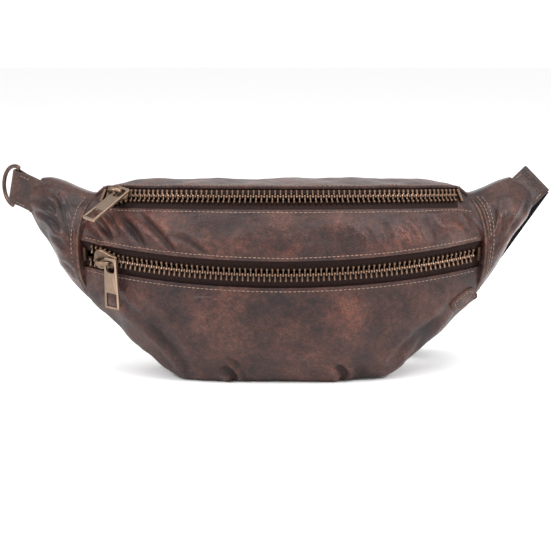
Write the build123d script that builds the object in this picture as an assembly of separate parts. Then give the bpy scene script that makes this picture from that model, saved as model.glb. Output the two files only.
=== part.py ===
from build123d import *
import os
from math import asin, cos, degrees, radians, sin

# Leather waist pack with two metal zips, a D-ring on the left and a webbing strap on the right.
# Millimetres. +X is the wearer's left as seen from the front, +Y points to the wearer, +Z is up.
# The origin is the centre of the base, on the surface the pack stands on.

# ---- driving dimensions: leather body ----
base_half = 70.0            # flat base, half its length
seam_half = 134.0           # seam between the front panels and the wings
tip_half = 171.0            # outer end of each wing
base_front = -29.0          # base, front edge
back_y = 20.0               # back panel, outer face at the base
top_back_y = 14.0           # back panel, outer face at the top
top_z = 130.0               # height of the back edge of the top
wing_tip_low = 111.0        # underside of the wing tip
wing_tip_high = 130.5       # top of the wing tip
leather = 1.8               # leather thickness
front_bulge = 7.0           # how far the lower panel swells out
upper_bulge = 2.5           # how far the upper panel swells out

# ---- zips: each runs along a circular arc ----
slot_half = 9.3             # half the gap between the leather edges
front_apex = (-52.0, 78.0)  # front zip, Y and Z at the middle
front_end = (-14.0, 85.0)   # front zip, Y and Z at the seam
main_apex = (-39.0, top_z - 3.5)    # main zip, Y and Z at the middle
main_end = (2.0, top_z - 8.5)       # main zip, Y and Z at its ends
main_half = 122.0           # main zip, half its length along X
main_lean = 30.0            # main zip, lean of the tape from the arc's axis, degrees

tape_hem = 7.0              # how far the tape runs on under the leather
tape_thick = 0.8
tape_gap = 2.2              # half the gap between the two tapes
seat_gap = 0.3              # running clearance between layers
chain_width = 9.1
tooth_pitch = 3.48
tooth_thick = 1.45
tooth_high = 3.2
tooth_cross = 1.1           # how far a tooth reaches past the middle
slider_long = 17.8
slider_wide = 14.3
slider_plate = 1.6
bridge_wide = 2.4
bridge_high = 5.2
foot_radius = 0.9
pull_long = 36.0
pull_top = 9.2
pull_bottom = 11.3
pull_thick = 1.9
pull_hole = (6.6, 8.8)
pull_window = (7.8, 9.6)
pull_rim = 1.6                  # metal beyond the hole and beyond the window
pull_reach = 2.0                # inner edge of the hole to the centre of the slider's foot
front_slider_x = -115.0     # slider centres at rest, closed ends of the zips
main_slider_x = -108.0
main_pull_lean = 26.0       # outward lean of the main pull at rest, degrees
main_pull_turn = -14.0      # its turn about the foot at rest, degrees

# ---- hardware and strap ----
web_wide = 25.0
web_thick = 1.6
wire = 2.8                  # D-ring wire
bar_clear = 0.1             # radial clearance of a bar in its loop
tab_long = 15.5
tab_clear = 0.7             # side clearance of a tab in its ring
fold_pitch = 2.1            # layer to layer in the folded strap
layer_count = 5
hank_left = 0.0
hank_right = 84.0
hank_y = 46.0               # middle of the folded strap, behind the back panel
keeper_thick = 1.0
keeper_wide = 12.0
eye_bar = 3.0               # diameter of the hook's eye bar
hook_wire = 5.0             # section of the hook
hook_inner = 11.0           # inside diameter of the hook

os.makedirs("parts", exist_ok=True)


def save(name, *solids):
    """Write one node from its solids."""
    export_step(Compound(children=list(solids)) if len(solids) > 1 else solids[0], f"parts/{name}.step")


def mix(table, x):
    """Straight-line interpolation in a table of (x, value) pairs."""
    x = min(max(x, table[0][0]), table[-1][0])
    for (x0, v0), (x1, v1) in zip(table, table[1:]):
        if x <= x1:
            return v0 + (v1 - v0) * (x - x0) / (x1 - x0)
    return table[-1][1]


class ZipArc:
    """A circular arc in a plane through the X direction, with a tape that may lean like a cone."""

    def __init__(self, apex, end, half, lean):
        rise = Vector(0, end[0] - apex[0], end[1] - apex[1])
        sag = rise.length
        self.radius = (half**2 + sag**2) / (2 * sag)
        self.inward = rise.normalized()
        self.axis = Vector(1, 0, 0).cross(self.inward)
        self.centre = Vector(0, *apex) + self.inward * self.radius
        self.lean = radians(lean)

    def radial(self, angle):
        return Vector(sin(angle), 0, 0) - self.inward * cos(angle)

    def across(self, angle):
        """Width direction of the tape, upwards."""
        return self.axis * cos(self.lean) - self.radial(angle) * sin(self.lean)

    def outward(self, angle):
        return self.radial(angle) * cos(self.lean) + self.axis * sin(self.lean)

    def angle_at(self, x, up=0.0, out=0.0):
        return asin(x / (self.radius - up * sin(self.lean) + out * cos(self.lean)))

    def point(self, x, up=0.0, out=0.0):
        """Point at a given X, raised along the tape's width and lifted off its face."""
        angle = self.angle_at(x, up, out)
        start = self.centre + self.radial(angle) * self.radius
        return start + self.across(angle) * up + self.outward(angle) * out

    def frame(self, x):
        """Plane on the zip: local X along the zip, Y across it, Z out of it."""
        angle = self.angle_at(x)
        return self.frame_at(angle)

    def frame_at(self, angle):
        start = self.centre + self.radial(angle) * self.radius
        out = self.outward(angle)
        along = self.across(angle).cross(out)
        return Plane(origin=start, x_dir=along, z_dir=out)


front_zip = ZipArc(front_apex, front_end, seam_half, 0.0)
main_zip = ZipArc(main_apex, main_end, main_half, main_lean)

# ---- outline of the body along X ----
edge_rise = (
    (base_half, 0.0),
    (base_half + 15, 9.0),
    (base_half + 27, 19.0),
    (base_half + 42, 33.5),
    (seam_half, 53.0),
    (seam_half + 14, 71.5),
    (tip_half - 12, 91.5),
    (tip_half, wing_tip_low),
)
top_widening = ((main_half - 50, 0.0), (main_half, 4.0), (seam_half, 4.0))
edge_front = ((base_half, base_front), (seam_half, 2.0), (tip_half, 10.0))
top_height = (
    (main_half - 19, top_z),
    (main_half, top_z - 3),
    (seam_half, 121.0),
    (seam_half + 12, 124.0),
    (tip_half - 17, wing_tip_high),
    (tip_half, wing_tip_high),
)


def body_outline(x):
    """Outer corners of the body's cross-section at X, from the base's front edge round to its back."""
    a = abs(x)
    low = Vector(x, mix(edge_front, a), mix(edge_rise, a))
    slot_low = front_zip.point(x, -slot_half)
    slot_high = front_zip.point(x, slot_half)
    fade = 1 - (a / (1.15 * seam_half)) ** 2
    belly = (low + slot_low) * 0.5 + Vector(0, -front_bulge, -2) * fade
    end = max(0.0, (a - main_half) / (seam_half - main_half))
    zip_x = min(a, main_half) * (1 if x >= 0 else -1)
    panel_top = main_zip.point(zip_x, -slot_half) * (1 - end) + Vector(x, -3, 110) * end
    lip = main_zip.point(zip_x, slot_half) * (1 - end) + Vector(x, 4, 117) * end
    panel_top, lip = (Vector(x, p.Y, p.Z) for p in (panel_top, lip))
    chest = (slot_high + panel_top) * 0.5 + Vector(0, -upper_bulge, 0) * fade
    top_back = Vector(x, top_back_y + mix(top_widening, a), mix(top_height, a))
    back_low = Vector(x, back_y, mix(edge_rise, a))
    return [low, belly, slot_low, slot_high, chest, panel_top, lip, top_back, back_low]


def inset(points, depth):
    """Corners moved into the section by the wall's depth, mitred, in the plane of constant X."""
    moved = []
    for i, p in enumerate(points):
        a = points[i - 1]
        b = points[(i + 1) % len(points)]
        n1 = Vector(0, -(p.Z - a.Z), p.Y - a.Y).normalized()
        n2 = Vector(0, -(b.Z - p.Z), b.Y - p.Y).normalized()
        half = (n1 + n2).normalized()
        moved.append(p - half * (depth / max(0.35, half.dot(n1))))
    return moved


def ruled(sections):
    """Solid through matching polygons, one to the next with straight rulings."""
    return Solid.make_loft([Wire.make_polygon(s, close=True) for s in sections], ruled=True)


body_stations = [-seam_half, -main_half, -100, -80, -base_half, -55, -37, -18, 0]
body_stations += [-x for x in reversed(body_stations[:-1])]


def wall(first, last, stations, outline, depth=0.0, thick=leather):
    """Sheet between two corners of the outline, carried through the stations."""
    sections = []
    for x in stations:
        points = outline(x)
        outer = inset(points, depth) if depth else points
        inner = inset(points, depth + thick)
        count = len(points)
        run = [(first + k) % count for k in range((last - first) % count + 1)]
        sections.append([outer[k] for k in run] + [inner[k] for k in reversed(run)])
    return ruled(sections)


LOW, BELLY, SLOT_LOW, SLOT_HIGH, CHEST, PANEL_TOP, LIP, TOP_BACK, BACK_LOW = range(9)

# Body panels. Neighbours share their mitred edges; the zip slots are left open.
save("front_lower_panel", wall(LOW, SLOT_LOW, body_stations, body_outline))
save("front_upper_panel", wall(SLOT_HIGH, PANEL_TOP, body_stations, body_outline))
save("top_panel", wall(LIP, TOP_BACK, body_stations, body_outline))
save("back_panel", wall(TOP_BACK, BACK_LOW, body_stations, body_outline))
save("base_panel", wall(BACK_LOW, LOW, body_stations, body_outline))

# Leather facings that close the main zip's slot between its ends and the seams.
facing_trim = 0.06              # share of the slot's height left free at each edge of a facing
facing_right = [main_half, seam_half]
facing_left = [-seam_half, -main_half]


def facing(stations):
    """Leather piece across the end of the main zip's slot, just inside its edges."""
    sections = []
    for x in stations:
        points = inset(body_outline(x), seat_gap)
        deep = inset(body_outline(x), leather)
        low, high = points[PANEL_TOP], points[LIP]
        low_in, high_in = deep[PANEL_TOP], deep[LIP]
        sections.append([
            low + (high - low) * facing_trim, high + (low - high) * facing_trim,
            high_in + (low_in - high_in) * facing_trim, low_in + (high_in - low_in) * facing_trim,
        ])
    return ruled(sections)


save("zip_end_facings", facing(facing_left), facing(facing_right))

# ---- foam sheet inside the back panel, and the wall between the two compartments ----
inner_stations = [x for x in body_stations if abs(x) <= base_half]
pad_low, pad_high, pad_thick = 12.0, top_z - 18.0, 4.0


def back_slope(z):
    """Y of the back panel's outer face at a height."""
    return back_y + (top_back_y - back_y) * z / top_z


def back_sheet(x, depth, thick, low, high):
    """Four corners of a sheet parallel to the back panel."""
    near = [Vector(x, back_slope(z) - depth, z) for z in (low, high)]
    far = [Vector(x, back_slope(z) - depth - thick, z) for z in (high, low)]
    return near + far


pad_depth = leather + seat_gap
pad_sections = [back_sheet(x, pad_depth, pad_thick, pad_low, pad_high) for x in (-base_half, base_half)]
save("back_padding", ruled(pad_sections))

lining = 0.6
pocket_top = leather + tape_thick + 11 * seat_gap    # depth of the lining behind the upper tape
pocket_depth = 14.0         # front pocket, from the lower panel to its back wall


def pocket_sheet(x):
    """Lining between the front pocket and the main compartment."""
    top = front_zip.point(x, slot_half + 4, -pocket_top)
    middle = front_zip.point(x, -slot_half, -pocket_depth)
    low = Vector(x, base_front + pocket_depth, 6.0)
    outer = [low, middle, top]
    shift = Vector(0, lining, 0)
    return outer + [p + shift for p in reversed(outer)]


save("front_pocket_lining", ruled([pocket_sheet(x) for x in inner_stations]))

# ---- wings ----
wing_profile = ((0.0, 0.45), (0.2, 0.85), (0.45, 1.0), (0.7, 0.95), (0.9, 0.65), (1.0, 0.35))
wing_depth = ((seam_half, 34.0), (seam_half + 14, 31.0), (tip_half - 12, 22.0), (tip_half, 10.0))
wing_stations = [seam_half, seam_half + 14, tip_half - 12, tip_half]


def wing_section(a, side, wall_in=0.0):
    """Closed section of a wing at a distance from the middle, on one side."""
    low = mix(edge_rise, a) + wall_in
    high = mix(top_height, a) - wall_in
    depth = mix(wing_depth, a) - wall_in
    back = back_y - 1.0
    front = [Vector(side * a, back - depth * d, low + (high - low) * u) for u, d in wing_profile]
    return front + [Vector(side * a, back - wall_in, high), Vector(side * a, back - wall_in, low)]


def wing(side):
    """Hollow leather wing, open towards the body and closed at its tip."""
    outer = ruled([wing_section(a, side) for a in wing_stations])
    hollow_stations = wing_stations[:-1] + [tip_half - 4]
    hollow = ruled([wing_section(a, side, leather) for a in hollow_stations])
    return outer - hollow


save("left_wing", wing(-1))
save("right_wing", wing(1))

# ---- zips ----
tape_out = -leather - seat_gap      # outer face of the tape, under the leather
tooth_out = tape_out + seat_gap     # underside of the teeth


def hem(x, corner, beyond, depth):
    """Two points under the leather: below the slot's corner, and a little past it."""
    under = inset(body_outline(x), leather + seat_gap + depth)
    start, end = under[corner], under[beyond]
    run = end - start
    return [start, start + run * min(tape_hem / run.length, 0.5)]


def tape(arc, side, corner, beyond, half):
    """Woven tape from the chain to its hem, as a thin sheet behind the leather."""
    stations = [x for x in body_stations if abs(x) < half]
    stations = [-half] + stations + [half]
    sections = []
    for x in stations:
        outer = [arc.point(x, side * tape_gap, tape_out)] + hem(x, corner, beyond, 0.0)
        inner = [arc.point(x, side * tape_gap, tape_out - tape_thick)] + hem(x, corner, beyond, tape_thick)
        sections.append(outer + inner[::-1])
    return ruled(sections)


def spread(along):
    """How far a tooth row has parted, from the slider's narrow end to its mouth."""
    share = min(max((slider_long / 2 - along) / (0.7 * slider_long), 0.0), 1.0)
    return 2.9 * share


def teeth(arc, side, half, slider_x):
    """One row of teeth, each a bar across the tape's inner edge."""
    row = []
    start = arc.angle_at(slider_x)
    count = int(2 * arc.angle_at(half) * arc.radius / tooth_pitch)
    step = tooth_pitch / arc.radius
    first = -(count - 1) / 2 * step + (0.25 if side > 0 else -0.25) * step
    long = chain_width / 2 + tooth_cross
    for i in range(count):
        angle = first + i * step
        parted = spread((angle - start) * arc.radius)
        middle = side * (long / 2 - tooth_cross + parted)
        bar = Box(tooth_thick, long, tooth_high, align=(Align.CENTER, Align.CENTER, Align.MIN))
        row.append(arc.frame_at(angle) * Pos(0, middle, tooth_out) * bar)
    return row


def stops(arc, half):
    """Clamped metal stops at both ends of the chain."""
    pieces = []
    for x in (-half, half):
        block = Box(2.0, chain_width, 2.4, align=(Align.CENTER, Align.CENTER, Align.MIN))
        pieces.append(arc.frame(x) * Pos(0, 0, tooth_out) * block)
    return pieces


plate_low = tooth_out + tooth_high + seat_gap           # underside of the slider's top plate
plate_high = plate_low + slider_plate
under_high = tape_out - tape_thick - 3 * seat_gap       # top of the slider's lower plate
under_low = under_high - 1.3
foot_x = 4.9                                            # feet of the bridge, from the slider's centre


def slider_outline(share):
    """Slider plate: a broad mouth on the left, narrowing to the right."""
    half, wide = slider_long / 2, slider_wide / 2 * share
    return Polygon(
        (-half, -wide * 0.55), (-half + 3, -wide), (-1, -wide * 0.95), (half - 3, -wide * 0.72),
        (half, -wide * 0.45), (half, wide * 0.45), (half - 3, wide * 0.72), (-1, wide * 0.95),
        (-half + 3, wide), (-half, wide * 0.55), align=None,
    )


def slider():
    """Slider body about its own centre: two plates, a post between them and a bridge on top."""
    top = Pos(0, 0, plate_low) * extrude(slider_outline(1.0), slider_plate)
    under = Pos(0, 0, under_low) * extrude(slider_outline(0.95), under_high - under_low)
    post = Pos(-slider_long / 2 + 3.2, 0, under_low) * extrude(Ellipse(2.6, 1.6), plate_high - under_low)
    bar_low = plate_high + bridge_high
    foot = Cylinder(foot_radius, bridge_high + 0.4, align=(Align.CENTER, Align.CENTER, Align.MIN))
    feet = [Pos(x, 0, plate_high - 0.2) * foot for x in (-foot_x, foot_x)]
    bar = Pos(0, 0, bar_low) * Box(2 * foot_x + 2.4, bridge_wide, 1.4, align=(Align.CENTER, Align.CENTER, Align.MIN))
    return top + under + post + feet[0] + feet[1] + bar


def pull():
    """Pull tab hanging along -Y, lying in the XY plane, with its hole round a foot at the origin."""
    half_top, half_low = pull_top / 2, pull_bottom / 2
    plate = Polygon(
        (-half_top, 0), (-half_low, -pull_long), (half_low, -pull_long), (half_top, 0), align=None
    )
    hole = Pos(0, -pull_rim - pull_hole[1] / 2) * RectangleRounded(*pull_hole, 0.45 * pull_hole[0])
    window = Pos(0, -pull_long + pull_rim + pull_window[1] / 2) * RectangleRounded(*pull_window, 0.6)
    flat = fillet(plate.vertices(), 1.2) - hole - window
    shape = extrude(flat, pull_thick / 2, both=True)
    return Pos(pull_hole[0] / 2 - pull_reach, pull_reach + pull_rim, 0) * shape


def pull_pivot():
    """Where a pull turns on its slider: round the right foot, half-way up the bridge."""
    return Pos(foot_x, 0, plate_high + bridge_high / 2)


def save_zip(prefix, arc, half, slider_x, sides, corners, lean, turn):
    """All the pieces of one zip."""
    low_name, high_name = sides
    low_corner, low_beyond, high_corner, high_beyond = corners
    save(f"{prefix}_tape_{low_name}", tape(arc, -1, low_corner, low_beyond, half))
    save(f"{prefix}_tape_{high_name}", tape(arc, 1, high_corner, high_beyond, half))
    save(f"{prefix}_teeth_{low_name}", *teeth(arc, -1, half - 4, slider_x))
    save(f"{prefix}_teeth_{high_name}", *teeth(arc, 1, half - 4, slider_x))
    save(f"{prefix}_stops", *stops(arc, half - 1.5))
    place = arc.frame(slider_x)
    save(f"{prefix}_slider", place * slider())
    pivot = place.location * pull_pivot()
    save(f"{prefix}_pull", pivot * Rot(0, 0, turn) * Rot(lean, 0, 0) * pull())
    print(prefix, "axis", arc.axis, "centre", arc.centre, "radius", round(arc.radius, 2))
    print(prefix, "slider angle", round(degrees(arc.angle_at(slider_x)), 2))
    print(prefix, "pull pivot", pivot.position, "axis", Plane(pivot).z_dir)


main_corners = (PANEL_TOP, CHEST, LIP, TOP_BACK)
front_corners = (SLOT_LOW, BELLY, SLOT_HIGH, CHEST)
main_tape_half = main_half - 0.5
front_tape_half = seam_half - 1
save_zip("main_zip", main_zip, main_tape_half, main_slider_x, ("front", "back"), main_corners,
         -main_pull_lean, main_pull_turn)
save_zip("front_zip", front_zip, front_tape_half, front_slider_x, ("lower", "upper"), front_corners,
         0.0, 0.0)

# ---- tabs at the wing tips, each a leather strip folded round a bar ----
tab_wide = web_wide - 2 * tab_clear
tab_centre_z = (wing_tip_low + wing_tip_high) / 2
loop_radius = wire / 2 + bar_clear
tab_sweep = 35.0                    # how far the tabs turn back, degrees
tab_rise = 15.0                     # how far they point up, degrees


def tab_frame(side):
    """Plane at a wing tip: local X outwards along the tab, Y through its thickness, Z up its width."""
    turn, rise = radians(tab_sweep), radians(tab_rise)
    level = Vector(side * cos(turn), sin(turn), 0)
    out = level * cos(rise) + Vector(0, 0, sin(rise))
    up = Vector(0, 0, cos(rise)) - level * sin(rise)
    return Plane(origin=(side * tip_half, back_y - 6.5, tab_centre_z), x_dir=out, z_dir=up)


def tab(side, bored):
    """Folded tab, trimmed flush with the wing's tip, with a bore where it holds a bar."""
    half = loop_radius + leather
    profile = Polygon((-5, -leather), (tab_long * 0.5, -leather), (tab_long, -half), (tab_long, half),
                      (tab_long * 0.5, leather), (-5, leather), align=None)
    profile += Pos(tab_long, 0) * Circle(half)
    if bored:
        profile -= Pos(tab_long, 0) * Circle(loop_radius)
    solid = tab_frame(side) * extrude(profile, tab_wide / 2, both=True)
    keep = Pos(side * (tip_half + 100), 0, tab_centre_z) * Box(200, 200, 200)
    return solid & keep


def d_ring():
    """Half-round bow and a straight bar, with the bar's middle at the origin and the bow along +X."""
    inner = web_wide / 2 + wire / 2
    bow = Torus(inner, wire / 2) & Pos(inner, 0, 0) * Box(2 * inner, 4 * inner, 2 * wire)
    bow = Rot(90, 0, 0) * bow
    bar = Cylinder(wire / 2, 2 * inner)
    knuckles = [Pos(0, 0, z) * Sphere(wire / 2) for z in (-inner, inner)]
    return bow + bar + knuckles[0] + knuckles[1]


ring_turn = -10.0                   # rest angle of the ring in its tab, degrees
save("left_tab", tab(-1, True))
save("d_ring", tab_frame(-1) * Pos(tab_long, 0, 0) * Rot(0, 0, ring_turn) * d_ring())
save("right_tab", tab(1, False))
print("ring pivot", tab_frame(-1).from_local_coords(Vector(tab_long, 0, 0)), "axis", tab_frame(-1).z_dir)

# ---- waist strap: down from the right tab, flat on the surface, folded and tied ----
tab_place = tab_frame(1)
strap_lift = loop_radius + leather + seat_gap + web_thick / 2
strap_start = tab_place.from_local_coords(Vector(0.5 * tab_long, strap_lift + 3.1, 1))
strap_bend = (Vector(146, 30, 84), Vector(98, hank_y, keeper_thick + web_thick / 2))
strap_land = Vector(hank_right + 4, hank_y, keeper_thick + web_thick / 2)
strap_face = Vector(0.8, 0.22, -0.56)   # width direction at the tab


def smooth(t):
    t = min(max(t, 0.0), 1.0)
    return t * t * (3 - 2 * t)


def run_section(t):
    """Rectangle of webbing across its path, a fraction of the way from the tab to the surface."""
    a, b, c, d = strap_start, strap_bend[0], strap_bend[1], strap_land
    u = 1 - t
    place = a * u**3 + b * (3 * u * u * t) + c * (3 * u * t * t) + d * t**3
    ahead = ((b - a) * u * u + (c - b) * (2 * u * t) + (d - c) * (t * t)).normalized()
    turn = smooth((t - 0.3) / 0.65)
    wide = strap_face * (1 - turn) + Vector(0, 1, 0) * turn
    wide = (wide - ahead * wide.dot(ahead)).normalized()
    face = ahead.cross(wide)
    w, h = wide * (web_wide / 2), face * (web_thick / 2)
    return [place + w + h, place - w + h, place - w - h, place + w - h]


run_steps = 18
strap_run = ruled([run_section(i / run_steps) for i in range(run_steps + 1)])

eye_x = hank_left - 36.0            # middle of the eye bar
eye_z = 5.6                         # its height, so that the swivel's barrel lies on the surface
loop_in = eye_bar / 2 + 0.15
loop_out = loop_in + web_thick


def folds():
    """Side view of the folded strap in X and Z: layers joined by half-round folds, then the tail."""
    base = keeper_thick
    middle = (hank_left + hank_right) / 2
    long = hank_right - hank_left
    view = Pos(middle + 2, base + web_thick / 2) * Rectangle(long + 4, web_thick)
    for k in range(1, layer_count):
        z = base + k * fold_pitch
        view += Pos(middle, z + web_thick / 2) * Rectangle(long, web_thick)
        x, side = (hank_left, -1) if k % 2 else (hank_right, 1)
        centre = z - fold_pitch / 2 + web_thick / 2
        ring = Circle((fold_pitch + web_thick) / 2) - Circle((fold_pitch - web_thick) / 2)
        half = Pos(side * 5, 0) * Rectangle(10, 10)
        view += Pos(x, centre) * (ring & half)
    top = base + (layer_count - 1) * fold_pitch
    low = eye_z + loop_in
    slope = 18.0
    view += Polygon((hank_left, top), (hank_left, top + web_thick), (hank_left - slope, low + web_thick),
                    (eye_x, low + web_thick), (eye_x, low), (hank_left - slope, low), align=None)
    loop = (Circle(loop_out) - Circle(loop_in)) & Pos(-5, 0) * Rectangle(10, 20)
    view += Pos(eye_x, eye_z) * loop
    view += Pos(eye_x + 9, eye_z - loop_in - web_thick / 2) * Rectangle(18, web_thick)
    return view


side_view = Plane(origin=(0, hank_y, 0), x_dir=(1, 0, 0), z_dir=(0, -1, 0))
strap_folds = extrude(side_view * folds(), web_wide / 2, both=True)
save("waist_strap", strap_run, strap_folds)
stack = layer_count * fold_pitch


def band(x, long, low, high, thick):
    """Rectangular band round the strap at X."""
    inner_y = web_wide + 0.8
    outer = Box(long, inner_y + 2 * thick, high - low + 2 * thick)
    hole = Box(2 * long, inner_y, high - low)
    return Pos(x, hank_y, (low + high) / 2) * (outer - hole)


save("strap_keeper", band(hank_right / 2, keeper_wide, keeper_thick, keeper_thick + stack, keeper_thick))
slide_x = eye_x + 10.0
save("strap_adjuster", band(slide_x, 5.0, eye_z - loop_out - 0.3, eye_z + loop_out + 0.3, 1.6))

# ---- snap hook on the strap's end ----
arm = 3.0
neck_x = eye_x - 13.0               # outer face of the eye's cross bar
stud_radius, head_radius = 2.0, 3.0
barrel_radius = eye_z - 0.1
barrel_long = 11.0
barrel_x = neck_x - 0.6
half_eye = web_wide / 2 + 2.3


def eye():
    """Rectangular eye with a round bar for the strap and a headed stud for the swivel."""
    bar = Pos(eye_x, hank_y, eye_z) * Rot(90, 0, 0) * Cylinder(eye_bar / 2, 2 * half_eye)
    solid = bar
    for side in (-1, 1):
        x = (eye_x + 1.5 + neck_x) / 2
        solid += Pos(x, hank_y + side * half_eye, eye_z) * Box(eye_x + 1.5 - neck_x, arm, arm)
    solid += Pos(neck_x + arm / 2, hank_y, eye_z) * Box(arm, 2 * half_eye + arm, arm)
    stud_end = barrel_x - 7.0
    long = neck_x - stud_end + 1
    solid += Pos(neck_x + 1 - long / 2, hank_y, eye_z) * Rot(0, 90, 0) * Cylinder(stud_radius, long)
    solid += Pos(stud_end - 0.6, hank_y, eye_z) * Rot(0, 90, 0) * Cylinder(head_radius, 1.2)
    return solid


hook_centre = barrel_x - barrel_long - hook_inner / 2 - hook_wire / 2
hook_mid = (hook_inner + hook_wire) / 2
gate_pivot = (barrel_x - barrel_long + 2.0, hank_y + 8.2)
gate_pin = 0.8


def hook_body():
    """Barrel with the stud's bore and head pocket, and the open hook beyond it."""
    barrel = Pos(barrel_x - barrel_long / 2, hank_y, eye_z) * Rot(0, 90, 0) * Cylinder(barrel_radius, barrel_long)
    bore = Pos(barrel_x - 3.4, hank_y, eye_z) * Rot(0, 90, 0) * Cylinder(stud_radius + bar_clear, 7.2)
    pocket = Pos(barrel_x - 7.6, hank_y, eye_z) * Rot(0, 90, 0) * Cylinder(head_radius + 0.3, 2.2)
    curl = Pos(hook_centre, hank_y, eye_z) * Torus(hook_mid, hook_wire / 2)
    mouth = Pos(hook_centre + 5, hank_y + 11.4, eye_z) * Box(18, 20, 10)
    curl = curl - mouth
    lug = Pos(gate_pivot[0], hank_y + 5.4, eye_z - 3.1) * Box(4.0, 8.4, 1.6)
    pin = Pos(*gate_pivot, eye_z - 0.4) * Cylinder(gate_pin, 5.2)
    return (barrel + curl + lug + pin) - bore - pocket


def gate():
    """Sprung gate from its pin to the hook's nose."""
    long = 13.4
    bar = Box(long, 3.0, 3.0, align=(Align.MAX, Align.CENTER, Align.CENTER))
    eye_end = Cylinder(2.0, 3.0)
    solid = (bar + eye_end) - Cylinder(gate_pin + 0.08, 6)
    return Pos(*gate_pivot, eye_z) * solid


save("hook_eye", eye())
save("hook_body", hook_body())
save("hook_gate", gate())
print("hook swivel", (neck_x, hank_y, eye_z), "gate pivot", gate_pivot, eye_z)

# ---- seam pipings and the small leather patch ----
piping = 1.6


def seam_piping(side):
    """Raised leather edge along the front of a wing's seam, a touch outside the wing's first section."""
    points = [p for p in wing_section(seam_half, side)[:-2]]
    lifted = [Vector(side * (seam_half + 2.0), p.Y - 1.6 * piping, p.Z) for p in points]
    route = Wire.make_polygon(lifted, close=False)
    start = lifted[1] - lifted[0]
    plane = Plane(origin=lifted[0], z_dir=start)
    return sweep(plane * Circle(piping / 2), path=route, transition=Transition.ROUND)


save("seam_pipings", seam_piping(-1), seam_piping(1))
patch_size = (19.0, 10.0)
patch_thick = 1.2
patch_x = seam_half - 11.0
patch_share = 0.62                      # height of the patch between the panel's lower edge and its belly


def panel_point(x, share):
    """Point on the lower panel's outer face, between its lower edge and its belly."""
    points = body_outline(x)
    return points[LOW] + (points[BELLY] - points[LOW]) * share


def patch():
    """Leather patch on the lower panel by the right seam, parallel to the panel's lower edge."""
    centre = panel_point(patch_x, patch_share)
    along = panel_point(patch_x + 6, patch_share) - panel_point(patch_x - 6, patch_share)
    out = along.cross(panel_point(patch_x, 0.9) - panel_point(patch_x, 0.1)).normalized()
    face = Plane(origin=centre + out * 2 * seat_gap, x_dir=along, z_dir=out)
    return face * extrude(RectangleRounded(*patch_size, 3.0), patch_thick)


save("side_patch", patch())
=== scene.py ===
import bmesh
import bpy
import numpy as np
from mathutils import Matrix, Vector


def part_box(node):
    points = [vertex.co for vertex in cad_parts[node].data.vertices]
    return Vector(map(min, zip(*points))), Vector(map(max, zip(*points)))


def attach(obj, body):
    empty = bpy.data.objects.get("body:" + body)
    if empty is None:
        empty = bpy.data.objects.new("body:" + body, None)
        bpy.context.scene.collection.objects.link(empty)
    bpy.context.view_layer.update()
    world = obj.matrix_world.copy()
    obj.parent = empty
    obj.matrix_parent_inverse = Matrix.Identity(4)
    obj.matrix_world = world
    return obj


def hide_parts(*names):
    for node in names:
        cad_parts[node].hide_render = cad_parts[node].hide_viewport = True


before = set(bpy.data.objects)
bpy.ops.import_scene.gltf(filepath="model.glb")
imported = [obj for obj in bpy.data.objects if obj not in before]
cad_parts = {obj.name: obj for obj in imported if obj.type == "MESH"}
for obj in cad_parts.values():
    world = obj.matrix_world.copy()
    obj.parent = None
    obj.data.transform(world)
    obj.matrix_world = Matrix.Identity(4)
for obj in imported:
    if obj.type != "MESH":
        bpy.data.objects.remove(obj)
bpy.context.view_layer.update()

MM = 0.001

# --------------------------------------------------
# Studio: a plain pale table, a large lamp above, a small one at each side of the front, a weak
# one behind, and a camera a little above the front of the pack.
camera_lens = 85.0
camera_place = (-4.1 * MM, -868.0 * MM, 251.5 * MM)
camera_aim = (-4.1 * MM, 10.0 * MM, 64.8 * MM)

camera = bpy.data.objects.new("camera", bpy.data.cameras.new("camera"))
camera.data.lens = camera_lens
camera.data.sensor_width = 36.0
camera.location = camera_place
camera.rotation_euler = (Vector(camera_aim) - Vector(camera_place)).to_track_quat("-Z", "Y").to_euler()
bpy.context.collection.objects.link(camera)
bpy.context.scene.camera = camera


def soft_lamp(name, place, size, power, aim=(0.0, 0.0, 0.06)):
    """Square area lamp pointed at the pack."""
    lamp = bpy.data.objects.new(name, bpy.data.lights.new(name, "AREA"))
    lamp.data.size = size
    lamp.data.energy = power
    lamp.location = place
    lamp.rotation_euler = (Vector(aim) - Vector(place)).to_track_quat("-Z", "Y").to_euler()
    bpy.context.collection.objects.link(lamp)


soft_lamp("lamp_above", (0.1, -0.35, 1.1), 0.7, 7.0)
soft_lamp("lamp_left", (-0.75, -0.55, 0.75), 0.22, 6.0)
soft_lamp("lamp_right", (0.85, -0.5, 0.75), 0.2, 7.0)
soft_lamp("lamp_back", (0.2, 1.1, 0.8), 0.8, 1.2)

world = bpy.data.worlds.new("studio")
world.use_nodes = True
world.node_tree.nodes["Background"].inputs["Color"].default_value = (1.0, 1.0, 1.0, 1.0)
world.node_tree.nodes["Background"].inputs["Strength"].default_value = 1.0
bpy.context.scene.world = world
bpy.context.scene.view_settings.view_transform = "Standard"


def new_material(name):
    """New material with its principled shader, its node tree and the object's coordinates."""
    material = bpy.data.materials.new(name)
    material.use_nodes = True
    tree = material.node_tree
    place = tree.nodes.new("ShaderNodeTexCoord").outputs["Object"]
    return material, tree.nodes["Principled BSDF"], tree, place


floor_material, floor_shader, _, _ = new_material("pale_table")
floor_shader.inputs["Base Color"].default_value = (0.95, 0.95, 0.95, 1.0)
floor_shader.inputs["Roughness"].default_value = 0.9
bpy.ops.mesh.primitive_plane_add(size=8.0)
floor = bpy.context.object
floor.name = "table"
floor.data.materials.append(floor_material)

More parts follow.
